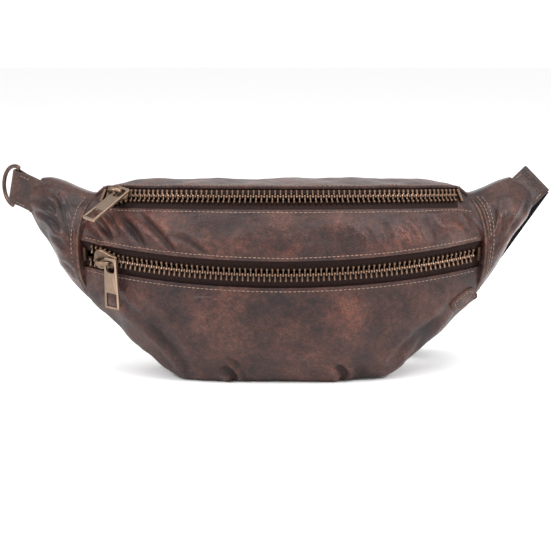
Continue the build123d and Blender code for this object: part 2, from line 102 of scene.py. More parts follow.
# --------------------------------------------------
# Shared helpers for shapes: points are arrays in millimetres with X, Y and Z last, and faces
# are quads of a grid or lists of corners.
def xyz(*parts):
    """Points from three coordinates, each spread to their common shape."""
    return np.stack(np.broadcast_arrays(*parts), -1)


def eased(t):
    """Smooth step from nought to one."""
    return t * t * (3 - 2 * t)


def bulged(wave, power):
    """Sine or cosine made squarer, with its sign kept."""
    return np.sign(wave) * np.abs(wave) ** power


def unit(vectors):
    """Vectors brought to length one."""
    return vectors / np.linalg.norm(vectors, axis=-1, keepdims=True)


def heading(path):
    """Direction of a path at each of its points."""
    return unit(np.gradient(path, axis=0))


def spokes(count):
    """Angles of a full turn, evenly spaced."""
    return np.linspace(0, 2 * np.pi, count, endpoint=False)


def grid_faces(rows, columns, wrap=False):
    """Quads of a grid of rows and columns, closed round its columns if wrapped."""
    r, c = np.meshgrid(np.arange(rows - 1), np.arange(columns if wrap else columns - 1), indexing="ij")
    a = r * columns + c
    b = r * columns + (c + 1) % columns
    return np.stack([a, b, b + columns, a + columns], -1).reshape(-1, 4)


def capped_faces(rows, columns):
    """Faces of a closed grid with one more over each end."""
    faces = grid_faces(rows, columns, wrap=True).tolist()
    return faces + [list(range(columns)), list(range((rows - 1) * columns, rows * columns))]


def turned_out(faces, points, outward):
    """Faces flipped as one, if need be, to look outwards, which is by default off the middle."""
    flat = points.reshape(-1, 3)
    a, b, c = (flat[faces[:, k]] for k in range(3))
    outward = (a + b + c) / 3 - flat.mean(0) if outward is None else outward
    look = np.sum(np.cross(b - a, c - a) * outward, -1).sum()
    return faces if look > 0 else faces[:, ::-1]


def add_wear_highlight_and_shade(mesh, wear_highlight_and_shade):
    """How rubbed each point of a mesh is, from nought to one, for the leather's finish; the same value
    paints shade into its creases and highlight onto its ridges.
    """
    layer = mesh.attributes.new("wear_highlight_and_shade", "FLOAT", "POINT")
    layer.data.foreach_set("value", np.ravel(wear_highlight_and_shade).astype(np.float32))


def recalculate(mesh):
    """Normals made to point out of a closed mesh."""
    shape = bmesh.new()
    shape.from_mesh(mesh)
    bmesh.ops.remove_doubles(shape, verts=shape.verts, dist=1e-7)
    bmesh.ops.recalc_face_normals(shape, faces=shape.faces)
    shape.to_mesh(mesh)
    shape.free()
    mesh.update()
    if "wear_highlight_and_shade" not in mesh.attributes:
        add_wear_highlight_and_shade(mesh, np.full(len(mesh.vertices), 0.5))


def mesh_piece(name, points, faces, material, wear_highlight_and_shade=None, scale=MM, smooth=True, closed=False):
    """New object from points and faces; a closed one gets its normals turned out."""
    mesh = bpy.data.meshes.new(name)
    faces = faces if isinstance(faces, list) else faces.tolist()
    mesh.from_pydata((points.reshape(-1, 3) * scale).tolist(), [], faces)
    mesh.polygons.foreach_set("use_smooth", np.full(len(mesh.polygons), smooth))
    if wear_highlight_and_shade is not None:
        add_wear_highlight_and_shade(mesh, wear_highlight_and_shade)
    mesh.materials.append(material)
    mesh.update()
    if closed:
        recalculate(mesh)
    piece = bpy.data.objects.new(name, mesh)
    bpy.context.collection.objects.link(piece)
    return piece


def joined(name, pieces):
    """Several objects as one, in one mesh."""
    bpy.ops.object.select_all(action="DESELECT")
    for piece in pieces:
        piece.select_set(True)
    bpy.context.view_layer.objects.active = pieces[0]
    bpy.ops.object.join()
    pieces[0].name = name
    return pieces[0]


def dress(material, *names):
    """CAD nodes keep their shape and take a finished material."""
    for name in names:
        node = bpy.data.objects[name]
        node.data.materials.clear()
        node.data.materials.append(material)


# --------------------------------------------------
# Shared helpers for finishes: nodes of a procedural material, each fed with values or with the
# outputs of other nodes.
def feed(tree, node, inputs):
    """A node's inputs, by name or number, linked to an output or set to a value."""
    for name, value in inputs.items():
        if isinstance(value, bpy.types.NodeSocket):
            tree.links.new(value, node.inputs[name])
        else:
            node.inputs[name].default_value = value


def add_node(tree, kind, inputs, output, **settings):
    """Output of a new shader node with its settings and inputs."""
    node = tree.nodes.new("ShaderNode" + kind)
    for name, value in settings.items():
        setattr(node, name, value)
    feed(tree, node, inputs)
    return node.outputs[output]


def noise(tree, source, scale, detail=6.0, rough=0.6):
    """Cloudy noise, its scale in waves a metre."""
    inputs = {"Vector": source, "Scale": scale, "Detail": detail, "Roughness": rough}
    return add_node(tree, "TexNoise", inputs, "Fac")


def ramp(tree, source, stops):
    """Colour ramp through (place, colour) stops."""
    node = tree.nodes.new("ShaderNodeValToRGB")
    elements = node.color_ramp.elements
    for k, (place, colour) in enumerate(stops):
        element = elements[k] if k < 2 else elements.new(place)
        element.position = place
        element.color = (*colour, 1.0)
    tree.links.new(source, node.inputs["Fac"])
    return node.outputs["Color"]


def blend_colours(tree, share, first, second, way="MIX"):
    """Two colours blended by a share."""
    return add_node(tree, "Mix", {0: share, 6: first, 7: second}, 2, data_type="RGBA", blend_type=way)


def relief(tree, shader, layers):
    """Bump nodes in a chain, each from (height, strength, depth in metres)."""
    last = {}
    for height, strength, depth in layers:
        inputs = {"Strength": strength, "Distance": depth, "Height": height, **last}
        last = {"Normal": add_node(tree, "Bump", inputs, "Normal")}
    feed(tree, shader, last)


def leather_material(name, dark, middle, light, gloss=0.36):
    """Waxed hide: cloudy patches of three browns, ridges lighter by rubbing and painted highlight, creases
    darker by painted shade, pebble grain and small scuffs.
    """
    material, shader, tree, place = new_material(name)
    wear_highlight_and_shade = add_node(tree, "Attribute", {}, "Fac", attribute_name="wear_highlight_and_shade")
    colour = ramp(tree, noise(tree, place, 38.0, 9.0, 0.72), ((0.36, dark), (0.50, middle), (0.66, light)))
    for share, source, stops in (
        (0.8, noise(tree, place, 330.0, 8.0, 0.8), ((0.38, (0.35, 0.35, 0.40)), (0.62, (1.5, 1.4, 1.35)))),
        (0.7, noise(tree, place, 1100.0, 4.0, 0.7), ((0.40, (0.55, 0.55, 0.6)), (0.62, (1.45, 1.35, 1.3)))),
        # Ridges lighter, partly rubbed wear and partly painted highlight; creases darker, painted shade.
        (0.8, wear_highlight_and_shade, ((0.0, (0.35, 0.33, 0.36)), (0.5, (1.0, 1.0, 1.0)), (1.0, (1.7, 1.45, 1.3)))),
    ):
        colour = blend_colours(tree, share, colour, ramp(tree, source, stops), "MULTIPLY")
    spread = {"Value": noise(tree, place, 60.0, 6.0, 0.7), "To Min": gloss - 0.10, "To Max": gloss + 0.22}
    dull = add_node(tree, "MapRange", spread, "Result")
    polish = add_node(tree, "Math", {0: wear_highlight_and_shade, 1: -0.34, 2: dull}, 0, operation="MULTIPLY_ADD")
    rough = add_node(tree, "Math", {0: polish, 1: 0.15}, 0, operation="ADD", use_clamp=True)
    feed(tree, shader, {"Base Color": colour, "Roughness": rough, "Specular IOR Level": 0.33})
    relief(tree, shader, (
        (add_node(tree, "TexVoronoi", {"Scale": 900.0, "Vector": place}, "Distance"), 0.5, 0.0004),
        (noise(tree, place, 240.0, 8.0, 0.75), 0.6, 0.0009),
        (noise(tree, place, 45.0, 5.0, 0.6), 0.35, 0.002),
    ))
    return material


def metal_material(name, dark, bright, rough):
    """Aged metal: cloudy tarnish, fine scratches, and edges rubbed bright."""
    material, shader, tree, place = new_material(name)
    tarnish = ramp(tree, noise(tree, place, 320.0, 5.0, 0.7), ((0.3, dark), (0.7, bright)))
    edge = add_node(tree, "NewGeometry", {}, "Pointiness")
    rub_highlight_and_shade = ramp(tree, edge, ((0.49, (0.0, 0.0, 0.0)), (0.58, (1.0, 1.0, 1.0))))
    rubbed = [min(part * more, 1) for part, more in zip(bright, (2.2, 2.0, 1.9))] + [1.0]
    scratch = noise(tree, place, 900.0, 3.0, 0.6)
    spread = {"Value": scratch, "To Min": rough - 0.08, "To Max": rough + 0.14}
    feed(tree, shader, {
        "Base Color": blend_colours(tree, rub_highlight_and_shade, tarnish, rubbed),
        "Metallic": 1.0,
        "Roughness": add_node(tree, "MapRange", spread, "Result"),
    })
    relief(tree, shader, ((scratch, 0.15, 0.0002),))
    return material


def cloth_material(name, weave_of, stops, rough, shine, bumps):
    """Woven cloth coloured by its own weave, which is made from the object's coordinates."""
    material, shader, tree, place = new_material(name)
    heights = weave_of(tree, place)
    inputs = {"Base Color": ramp(tree, heights[0], stops), "Roughness": rough}
    feed(tree, shader, inputs if shine is None else {**inputs, "Specular IOR Level": shine})
    relief(tree, shader, [(height, *bump) for height, bump in zip(heights[1:], bumps)])
    return material


leather = leather_material(
    "brown_leather", (0.016, 0.0072, 0.0080), (0.041, 0.0160, 0.0122), (0.080, 0.0325, 0.0225)
)

# --------------------------------------------------
# Leather panels: five cut pieces of waxed cowhide, 1.8 mm thick, sewn round two zips. Each zip
# lies on a circular arc; the panels stop at its slot with a turned edge.
leather_thick = 1.8
# Middle of the wear and painted shade scale, and how far a point's push along the normal moves it on that
# scale.
wear_shade_level, wear_shade_by_move = 0.5, 0.28
slot_half = 9.3
seam_half = 134.0
base_half = 70.0
# X places past which the main zip's slot is straight, and from which its edges close up.
slot_end, slot_close = 119.0, 117.0


class ZipArc:
    """Circular arc of a zip through three places, with the tape leaning like a cone."""

    def __init__(self, apex, end, half, lean):
        """Arc from its Y, Z places at the middle and at the ends, half its width and its lean."""
        rise = np.array([0.0, end[0] - apex[0], end[1] - apex[1]])
        sag = np.linalg.norm(rise)
        self.radius = (half**2 + sag**2) / (2 * sag)
        self.inward = rise / sag
        self.axis = np.cross([1.0, 0.0, 0.0], self.inward)
        self.centre = np.array([0.0, *apex]) + self.inward * self.radius
        self.lean = np.radians(lean)

    def frame_at(self, angle):
        """Origin and the along, across and outward directions at each angle."""
        angle = np.asarray(angle, float)[..., None]
        radial = np.sin(angle) * np.array([1.0, 0, 0]) - np.cos(angle) * self.inward
        along = np.cos(angle) * np.array([1.0, 0, 0]) + np.sin(angle) * self.inward
        across = self.axis * np.cos(self.lean) - radial * np.sin(self.lean)
        out = radial * np.cos(self.lean) + self.axis * np.sin(self.lean)
        return self.centre + radial * self.radius, along, across, out

    def angle_of(self, x, up=0.0):
        """Angle at which the arc, raised across the tape, has a given X."""
        return np.arcsin(np.clip(x / (self.radius - up * np.sin(self.lean)), -0.98, 0.98))

    def point(self, x, up=0.0, out=0.0):
        """Point at a given X, raised across the tape and lifted off its face."""
        origin, _, across, outward = self.frame_at(self.angle_of(x, up))
        return origin + across * up + outward * out


front_zip = ZipArc((-52.0, 78.0), (-14.0, 85.0), seam_half, 0.0)
main_zip = ZipArc((-39.0, 126.5), (2.0, 121.5), 122.0, 30.0)


def hermite(t, h, start, end, slope_in, slope_out):
    """Cubic from start to end over a step h, with the slopes at both."""
    return (
        start * (1 + 2 * t) * (1 - t) ** 2
        + slope_in * h * t * (1 - t) ** 2
        + end * t * t * (3 - 2 * t)
        + slope_out * h * t * t * (t - 1)
    )


def smooth_table(a, table):
    """Cubic curve through (place, value) pairs, its slopes averaged from both sides."""
    knots, values = np.array(table, float).T
    slopes = np.gradient(values, knots)
    a = np.clip(a, knots[0], knots[-1])
    i = np.clip(np.searchsorted(knots, a) - 1, 0, len(knots) - 2)
    h = knots[i + 1] - knots[i]
    return hermite((a - knots[i]) / h, h, values[i], values[i + 1], slopes[i], slopes[i + 1])


def through(points, share):
    """Smooth curves through rows of points, one for each X, at one share of their way."""
    knots = np.linspace(0, 1, len(points))
    slopes = np.gradient(np.stack(points), knots, axis=0)
    i = int(np.clip(np.searchsorted(knots, share) - 1, 0, len(knots) - 2))
    t = (share - knots[i]) / knots[1]
    return hermite(t, knots[1], points[i], points[i + 1], slopes[i], slopes[i + 1])


edge_rise = (
    (0, 0), (58, 0), (66, 0.6), (74, 3.5), (85, 10), (97, 20), (112, 33), (129, 47), (134, 52.5),
    (148, 71), (159, 91.5), (166, 101), (171, 111),
)
edge_front = ((0, -29), (50, -28), (base_half, -24), (100, -12), (seam_half, 0), (171, 10))
top_height = ((0, 131), (80, 130.5), (103, 129), (115, 126), (122, 123), (128, 120), (seam_half, 119))
seam_place = (
    (47, 129), (53, 130), (68, 134), (81, 135), (95, 135), (105, 133.5), (113, 131), (119, 127), (124, 124),
)
# The top and back panels turn in over each other by this much where they are sewn.
top_turn = np.array([0.0, 2.5, -5.0])


def low_edge(x):
    """Rounded edge between the lower panel and the base."""
    a = np.abs(x)
    return xyz(x, smooth_table(a, edge_front), smooth_table(a, edge_rise))


def fade_out(x):
    """Fullness of the bag, one in the middle and little at the seams."""
    return 1 - (np.abs(x) / (1.12 * seam_half)) ** 2


def lower_rows(x):
    """Guide points of the lower panel from under the base up to the front zip."""
    low = low_edge(x)
    slot = front_zip.point(x, -slot_half)
    swell = xyz(0, -7.5 * fade_out(x) - 1.0, 0)
    return [
        low + xyz(0, 9.0 * fade_out(x) + 2, 0.3), low + xyz(0, -3.0, 6.0) * 0.25,
        low + (slot - low) * 0.22 + swell * 0.75, low + (slot - low) * 0.48 + swell,
        low + (slot - low) * 0.74 + swell * 0.7, slot,
    ]


def upper_rows(x):
    """Guide points of the panel between the two zips."""
    low, high = front_zip.point(x, slot_half), panel_top(x)
    swell = xyz(0, -3.0 * fade_out(x), 0)
    return [low, low + (high - low) * 0.33 + swell, low + (high - low) * 0.67 + swell, high]


def slot_side(x, up, end_point):
    """Edge of the main zip's slot, closing towards the seam beyond the zip's end."""
    a = np.abs(x)
    inner = main_zip.point(np.sign(x) * np.minimum(a, slot_end), up)
    share = eased(np.clip((a - slot_close) / (seam_half - slot_close), 0, 1)[..., None])
    place = inner * (1 - share) + xyz(x, *end_point) * share
    place[..., 0] = x
    return place


def panel_top(x):
    """Upper edge of the panel between the zips."""
    return slot_side(x, -slot_half, (-2.0, 112.0))


def lip_edge(x):
    """Front edge of the top panel, a lip over the main zip."""
    return slot_side(x, slot_half - 1.5, (3.0, 117.5))


def back_top(x):
    """Rounded edge between the top and the back."""
    a = np.abs(x)
    return xyz(x, 14.0 + 0.03 * a, smooth_table(a, top_height))


def back_foot(x):
    """Lower edge of the back panel."""
    return xyz(x, 19.5, smooth_table(np.abs(x), edge_rise) + 3.0)


def top_rows(x):
    """Guide points of the top panel from the lip over to the back."""
    low, high = lip_edge(x), back_top(x)
    crown = xyz(0, 0, 1.5 * fade_out(x))
    return [low, low + (high - low) * 0.45 + crown, low + (high - low) * 0.88 + crown * 0.6, high + top_turn]


def back_rows(x):
    """Guide points of the back panel from the top down to the base."""
    high, low = back_top(x) + top_turn, back_foot(x)
    swell = xyz(0, 1.5 * fade_out(x), 0)
    return [high, high + (low - high) * 0.33 + swell, high + (low - high) * 0.67 + swell, low]


def base_rows(x):
    """Guide points of the base from the back to under the lower panel."""
    front = lower_rows(x)[0]
    under = xyz(x, 16.0, smooth_table(np.abs(x), edge_rise) + 0.3)
    return [back_foot(x), under, (under + front) * 0.5, front]


wave_seed = np.random.default_rng(7)
wave_count = 26
wave_turn = wave_seed.uniform(0, np.pi, wave_count)
wave_phase = wave_seed.uniform(0, 2 * np.pi, wave_count)
wave_long = np.geomspace(75, 9, wave_count)


def soft_waves(p):
    """Uneven surface of soft leather: plane waves of many directions and lengths, added up."""
    total = np.zeros(p.shape[:-1])
    for turn, phase, long in zip(wave_turn, wave_phase, wave_long):
        way = (p[..., 0] * np.cos(turn) + p[..., 2] * np.sin(turn) * 1.2 + p[..., 1] * 0.7) / long
        total += np.sin(2 * np.pi * way + phase) * (long / 75) ** 1.1
    return total * 0.33


# Creases, each from one X, Z place to another, with its half width and its depth.
creases = (
    ((-128, 109), (-112, 96), 2.1, 2.0), ((-119, 113), (-107, 99), 1.8, 1.6),
    ((-110, 112), (-89, 92), 2.4, 2.4),
    ((-95, 113), (-69, 90), 2.3, 2.3), ((-132, 99), (-118, 91), 2.2, 1.4), ((-73, 102), (-46, 89), 2.2, 1.3),
    ((52, 108), (60, 92), 1.7, 0.7),
    ((66, 110), (70, 93), 1.6, 0.7), ((78, 109), (88, 94), 2.0, 0.9), ((94, 112), (104, 95), 2.4, 0.9),
    ((104, 108), (124, 104), 2.4, 0.9), ((-118, 62), (-70, 20), 3.6, 1.3), ((-104, 66), (-58, 8), 3.2, 1.0),
    ((-90, 40), (-60, 4), 2.4, 1.1), ((-40, 12), (-31, 0), 2.6, 2.0), ((-36, 20), (-24, 3), 2.0, 0.8),
    ((36, 14), (41, 0), 2.6, 2.2), ((30, 18), (46, 4), 2.0, 0.8), ((70, 8), (108, 44), 3.2, 1.2),
    ((84, 8), (118, 56), 2.8, 0.9), ((-60, 64), (-30, 60), 1.8, 0.5), ((10, 60), (62, 52), 2.2, 0.5),
    ((-20, 34), (30, 22), 3.0, 0.6), ((60, 66), (72, 58), 1.4, 0.5), ((-8, 66), (4, 61), 1.2, 0.4),
    ((24, 66), (31, 60), 1.3, 0.4), ((-100, 68), (-92, 60), 1.4, 0.5), ((96, 70), (108, 60), 1.6, 0.6),
)


def crease_field(p, lines):
    """Sum of valleys with raised shoulders, each along a line in X and Z, fading at its ends."""
    total = np.zeros(p.shape[:-1])
    flat = p[..., [0, 2]]
    for start, end, half, depth in lines:
        start, end = np.array(start, float), np.array(end, float)
        run = end - start
        t = ((flat - start) @ run) / (run @ run)
        bend = np.sin(np.clip(t, 0, 1) * np.pi) * half * 0.9
        side = ((flat - start) @ np.array([-run[1], run[0]])) / np.linalg.norm(run) - bend
        ends = np.clip(1 - (2 * np.abs(t - 0.5)) ** 4, 0, 1)
        s = side / half
        total += depth * ends * (0.55 * np.exp(-((np.abs(s) - 1.9) ** 2)) - np.exp(-s * s))
    return total


def normals_of(grid):
    """Unit normals of a grid of points, from its two directions' differences."""
    n = np.cross(np.gradient(grid, axis=1), np.gradient(grid, axis=0))
    return n / np.maximum(np.linalg.norm(n, axis=-1, keepdims=True), 1e-9)


def panel_grid(rows_of, across, steps=300):
    """Surface of a panel: its guide curves swept along X, stopped at the bowed seam."""
    u = np.linspace(-1.0, 1.0, steps)
    grid = []
    for share in np.linspace(0.0, 1.0, across):
        x = u * (seam_half - 1.0)
        for _ in range(2):
            x = u * smooth_table(through(rows_of(x), share)[:, 2], seam_place)
        grid.append(through(rows_of(x), share))
    return np.stack(grid)


def rumple(grid, outward, waves=1.0, lines=creases, hold=(1, 1)):
    """Waves and creases pushed along the normal, held still at the first and last rows."""
    n = normals_of(grid)
    n *= np.sign(np.sum(n * outward, -1, keepdims=True) + 1e-9)
    v = np.linspace(0, 1, grid.shape[0])[:, None]
    u = np.linspace(0, 1, grid.shape[1])[None, :]
    still = np.clip(v * 9, 1 - hold[0], 1) * np.clip((1 - v) * 9, 1 - hold[1], 1)
    still = still * np.clip(u * 40, 0, 1) * np.clip((1 - u) * 40, 0, 1)
    move = (soft_waves(grid) * waves + crease_field(grid, lines)) * still
    return grid + n * move[..., None], move


def leather_shell(piece, thick):
    """Wall thickness inwards from the outer face, with a soft edge."""
    wall = piece.modifiers.new("wall", "SOLIDIFY")
    wall.thickness = thick * MM
    wall.offset = -1.0
    edge = piece.modifiers.new("edge", "BEVEL")
    edge.width = 0.5 * MM
    edge.segments = 2
    edge.limit_method = "ANGLE"
    edge.angle_limit = np.radians(50)


def walled(name, grid, outward, material, wear_highlight_and_shade=None, thick=leather_thick, wrap=False):
    """A grid as a sheet with a wall, its grain side outwards."""
    faces = turned_out(grid_faces(*grid.shape[:2], wrap), grid, outward)
    piece = mesh_piece(name, grid, faces, material, wear_highlight_and_shade)
    leather_shell(piece, thick)
    return piece


def make_panel(name, node, rows_of, across, outward, hold=(1, 1), waves=1.0, lines=creases):
    """One leather panel: grid, rumples, wall, and its place in the frame."""
    grid, move = rumple(panel_grid(rows_of, across), outward, waves, lines, hold)
    grid[..., 2] = np.maximum(grid[..., 2], 0.0)
    # The panel's colour follows its rumples: painted shade in the creases, lighter ridges from wear and
    # painted highlight.
    piece = walled(name, grid, outward, leather, wear_shade_level + move * wear_shade_by_move)
    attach(piece, "bag")
    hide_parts(node)
    return grid


back_creases = (
    ((-96, 24), (-70, 52), 2.6, 0.8), ((92, 22), (72, 46), 2.4, 0.8), ((-118, 84), (-96, 78), 2.2, 0.6),
    ((112, 90), (94, 76), 2.4, 0.7), ((-30, 10), (-22, 30), 2.2, 0.6), ((34, 8), (24, 26), 2.2, 0.6),
)
lower_grid = make_panel("front_lower_leather", "front_lower_panel", lower_rows, 90, (0, -1, -0.1), (0, 1))
upper_grid = make_panel("front_upper_leather", "front_upper_panel", upper_rows, 48, (0, -1, 0.3))
top_grid = make_panel("top_leather", "top_panel", top_rows, 56, (0, 0.1, 1), (1, 0), 0.7)
back_grid = make_panel("back_leather", "back_panel", back_rows, 60, (0, 1, 0), (0, 0), 0.9, back_creases)
make_panel("base_leather", "base_panel", base_rows, 30, (0, 0, -1), (0, 0), 0.15)

# Facings: leather across the slot of the main zip, between its ends and the wing seams.
facing_from, facing_to, facing_sunk = slot_end, 133.0, 1.7
facings = []
for side in (-1, 1):
    x = side * np.linspace(facing_from, facing_to, 12)[:, None] * np.ones(14)
    share = np.linspace(0.02, 0.98, 14)[None, :, None]
    sunk = main_zip.frame_at(main_zip.angle_of(x))[3] * facing_sunk
    grid = panel_top(x) * (1 - share) + lip_edge(x) * share - sunk
    # The sunk facings are set low on the wear and shade scale: darker, a painted shade, and rougher.
    facings.append(walled("facing", grid, (0.0, -1.0, 0.8), leather, np.full(x.shape, 0.35), 1.0))
facing = joined("zip_end_leather", facings)
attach(facing, "bag")
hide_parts("zip_end_facings")

# --------------------------------------------------
# Wings: each a soft hollow horn of the same leather, its front sewn to the panels at the bowed
# seam and its back to the back panel, drawn in to the width of the tab at its tip.
# The wings' leather is the panels' leather painted about a fifth darker, a painted shade, with a thin coat.
wing_leather_shaded = leather_material(
    "wing_leather_shaded", (0.012, 0.0054, 0.0056), (0.031, 0.0120, 0.0092), (0.068, 0.0265, 0.018), 0.31
)
feed(wing_leather_shaded.node_tree, wing_leather_shaded.node_tree.nodes["Principled BSDF"],
     {"Coat Weight": 0.14, "Coat Roughness": 0.26, "Specular IOR Level": 0.25})
tip_line = {
    -1: ((172.0, 10.0, 108.5), (163.5, 13.0, 131.5)),
    1: ((171.0, 10.0, 113.0), (156.5, 13.0, 132.0)),
}
tip_bulge = {-1: 2.2, 1: 3.4}
low_lift = {-1: -3.2, 1: 2.6}
wing_puff = 11.0
flap_long, flap_deep, flap_size = 6.0, 9.0, 0.93
wing_creases = {
    1: (
        ((152, 120), (139, 84), 2.4, 1.2), ((158, 112), (146, 92), 1.8, 0.9),
        ((166, 119), (150, 100), 2.2, 1.0), ((141, 116), (139, 98), 1.8, 0.8),
        ((146, 78), (138, 64), 1.8, 0.8), ((160, 96), (150, 84), 1.8, 0.7),
    ),
    -1: (
        ((-170, 118), (-150, 112), 2.4, 1.3), ((-167, 111), (-148, 101), 2.2, 1.2),
        ((-150, 124), (-139, 84), 2.2, 1.0), ((-160, 126), (-146, 116), 1.8, 0.8),
        ((-156, 96), (-142, 88), 2.0, 0.9), ((-148, 80), (-138, 66), 1.8, 0.7),
    ),
}
seam_low, seam_high = 47.5, 122.0
seam_depth = (
    (47, 3), (54, -1), (68, -10), (81, -14.5), (92, -14.5), (101, -12), (109, -7), (117, 0), (124, 9),
)
wing_top = ((120, 121.5), (128, 121.5), (138, 125), (148, 129.5), (157, 132), (166, 131.5))
wing_steps = 90
wing_thick = 1.4


def seam_line(side, v):
    """The seam between panels and wing, from the lower edge up to the top, as points."""
    height = seam_low + (seam_high - seam_low) * v
    return xyz(side * smooth_table(height, seam_place), smooth_table(height, seam_depth), height)


def tip_points(side, v):
    """The line at which a wing meets its tab, bulging a little outwards."""
    low, high = np.array(tip_line[side])
    row = low + (high - low) * v[..., None]
    row[..., 0] = side * (row[..., 0] + tip_bulge[side] * np.sin(np.pi * v))
    row[..., 2] += tip_bulge[side] * 0.6 * np.sin(np.pi * v) ** 2
    return row


def wing_grid(side, front):
    """Patch between the seam, the tip and the upper and lower outlines, puffed in the middle."""
    t = np.linspace(0, 1, wing_steps)
    u, v = t[None, :, None], t[:, None, None]
    seam, tip = seam_line(side, t)[:, None, :], tip_points(side, t)[:, None, :]
    if not front:
        seam, tip = seam * [1, 0, 1] + [0, 19.0, 0], tip + [0, 6.0, 0]
    a = np.abs(seam[0, 0, 0]) + (np.abs(tip[0, 0, 0]) - np.abs(seam[0, 0, 0])) * t
    z = smooth_table(a, edge_rise)
    z += low_lift[side] * np.sin(np.pi * t) + (tip[0, 0, 2] - z[-1]) * t ** 3
    low = xyz(side * a, np.interp(a, [130, 171], [8.0, 13.0]), z)[None]
    a = np.abs(seam[-1, 0, 0]) + (np.abs(tip[-1, 0, 0]) - np.abs(seam[-1, 0, 0])) * t
    high = xyz(side * a, np.interp(a, [122, 166], [13.0, 16.0]), smooth_table(a, wing_top))[None]
    corners = (1 - u) * (1 - v) * low[:, :1] + u * (1 - v) * low[:, -1:]
    corners = corners + (1 - u) * v * high[:, :1] + u * v * high[:, -1:]
    flat = (1 - u) * seam + u * tip + (1 - v) * low + v * high - corners
    swell = np.sin(np.pi * v) ** 0.6 * np.sin(np.pi * np.clip(u * 0.86 + 0.06, 0, 1)) ** 0.8
    return flat + swell * np.array([0, -wing_puff if front else 1.5, 0])


for side, name in ((-1, "left"), (1, "right")):
    front, move = rumple(wing_grid(side, True), (0, -1.0, 0.1), 0.9, wing_creases[side])
    back = wing_grid(side, False)
    back[0], back[-1] = front[0], front[-1]
    ring = np.swapaxes(np.concatenate([front, back[-2:0:-1]]), 0, 1)
    # The front's colour follows its rumples: painted shade in the creases, lighter ridges from wear and
    # painted highlight; the back and the tip stay at the middle level.
    rub_highlight_and_shade = np.full(ring.shape[:2], wear_shade_level)
    rub_highlight_and_shade[:, : len(front)] = (wear_shade_level + move * wear_shade_by_move).T
    # A flap turned in behind the seam, and rings that close the tip.
    seam, middle = ring[:1], ring[:1].mean(1, keepdims=True)
    flap = middle + (seam - middle) * flap_size - [side * flap_long, 0, 0]
    flap[:, : len(front), 1] += flap_deep * np.sin(np.pi * np.linspace(0, 1, len(front))) ** 3
    tip, shares = ring[-1], np.array([0.93, 0.7, 0.35, 0.03])[:, None, None]
    cap = tip.mean(0) + (tip - tip.mean(0)) * shares + np.array([side, 0.4, 0.2]) * (1 - shares) * 1.2
    ring = np.concatenate([flap, ring, cap])
    rub_highlight_and_shade = np.concatenate([rub_highlight_and_shade[:1], rub_highlight_and_shade, np.full(cap.shape[:2], wear_shade_level)])
    piece = walled(f"{name}_wing_leather", ring, None, wing_leather_shaded, rub_highlight_and_shade, wing_thick, wrap=True)
    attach(piece, "bag")
    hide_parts(f"{name}_wing")


# Seam ridges: a strip of leather turned over a cord and sewn in along each wing's seam.
def inset_row(grid, distance):
    """Row at a distance from a grid's first row, measured along the surface column by column."""
    step = np.linalg.norm(np.diff(grid, axis=0), axis=2)
    travelled = np.concatenate([np.zeros((1, grid.shape[1])), np.cumsum(step, 0)])
    row = np.argmax(travelled > distance, axis=0)
    column = np.arange(grid.shape[1])
    share = (distance - travelled[row - 1, column]) / (travelled[row, column] - travelled[row - 1, column])
    return grid[row - 1, column] + (grid[row, column] - grid[row - 1, column]) * share[:, None]


def tube(name, path, radius, material, sides):
    """Round tube along a path, its rings square to the path, with closed ends."""
    ahead = heading(path)
    helper = np.array([0.0, 0.3, 1.0]) if abs(ahead[:, 0]).mean() > 0.5 else np.array([1.0, 0.2, 0.1])
    first = unit(np.cross(ahead, helper))[:, None]
    second = np.cross(ahead, first[:, 0])[:, None]
    turn = spokes(sides)[None, :, None]
    rings = path[:, None] + radius[:, None, None] * (np.cos(turn) * first + np.sin(turn) * second)
    points = np.concatenate([rings.reshape(-1, 3), path[:1], path[-1:]])
    k, last = np.arange(sides), len(path) * sides
    start = xyz((k + 1) % sides, k, last)
    end = xyz(last - sides + k, last - sides + (k + 1) % sides, last + 1)
    faces = grid_faces(len(path), sides, wrap=True).tolist() + start.tolist() + end.tolist()
    return mesh_piece(name, points, faces, material, closed=True)


ridge_leather = leather_material(
    "ridge_leather", (0.03, 0.016, 0.013), (0.075, 0.036, 0.024), (0.14, 0.068, 0.043), 0.32
)
# Each ridge's distance from the seam and its radius: one on the left, two on the right.
ridge_rows = {-1: ((0.9, 1.0),), 1: ((0.9, 1.0), (3.4, 0.8))}
ridges = []
for side in (-1, 1):
    columns = np.swapaxes(wing_grid(side, True), 0, 1)
    for inset, thick in ridge_rows[side]:
        path = inset_row(columns, inset)[4:-3]
        steps = np.arange(len(path))
        taper = np.clip(np.minimum(steps, steps[::-1]) / 6.0, 0.15, 1.0)
        ridges.append(tube("ridge", path - [0, 0.15, 0], thick * taper, ridge_leather, 8))
ridge = joined("seam_ridges", ridges)
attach(ridge, "bag")
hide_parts("seam_pipings")

# --------------------------------------------------
# Zip tapes: dark brown woven tape, two halves a zip, hemmed under the leather. The CAD tapes
# have the right shape and stay.
def twill(tree, place):
    """Two sets of ribs crossing at a slant."""
    ribs = []
    for turn in (0.7, -0.7):
        turned = add_node(tree, "Mapping", {"Vector": place, "Rotation": (0.0, turn, 0.0)}, "Vector")
        ribs.append(add_node(tree, "TexWave", {"Vector": turned, "Scale": 420.0, "Distortion": 0.6}, "Fac"))
    cross = blend_colours(tree, 0.5, *ribs)
    return cross, cross


tape_material = cloth_material(
    "woven_tape", twill, ((0.2, (0.008, 0.0042, 0.0038)), (0.8, (0.030, 0.014, 0.0115))),
    0.85, 0.2, [(0.6, 0.0004)],
)
dress(tape_material, "main_zip_tape_front", "main_zip_tape_back")
dress(tape_material, "front_zip_tape_lower", "front_zip_tape_upper")

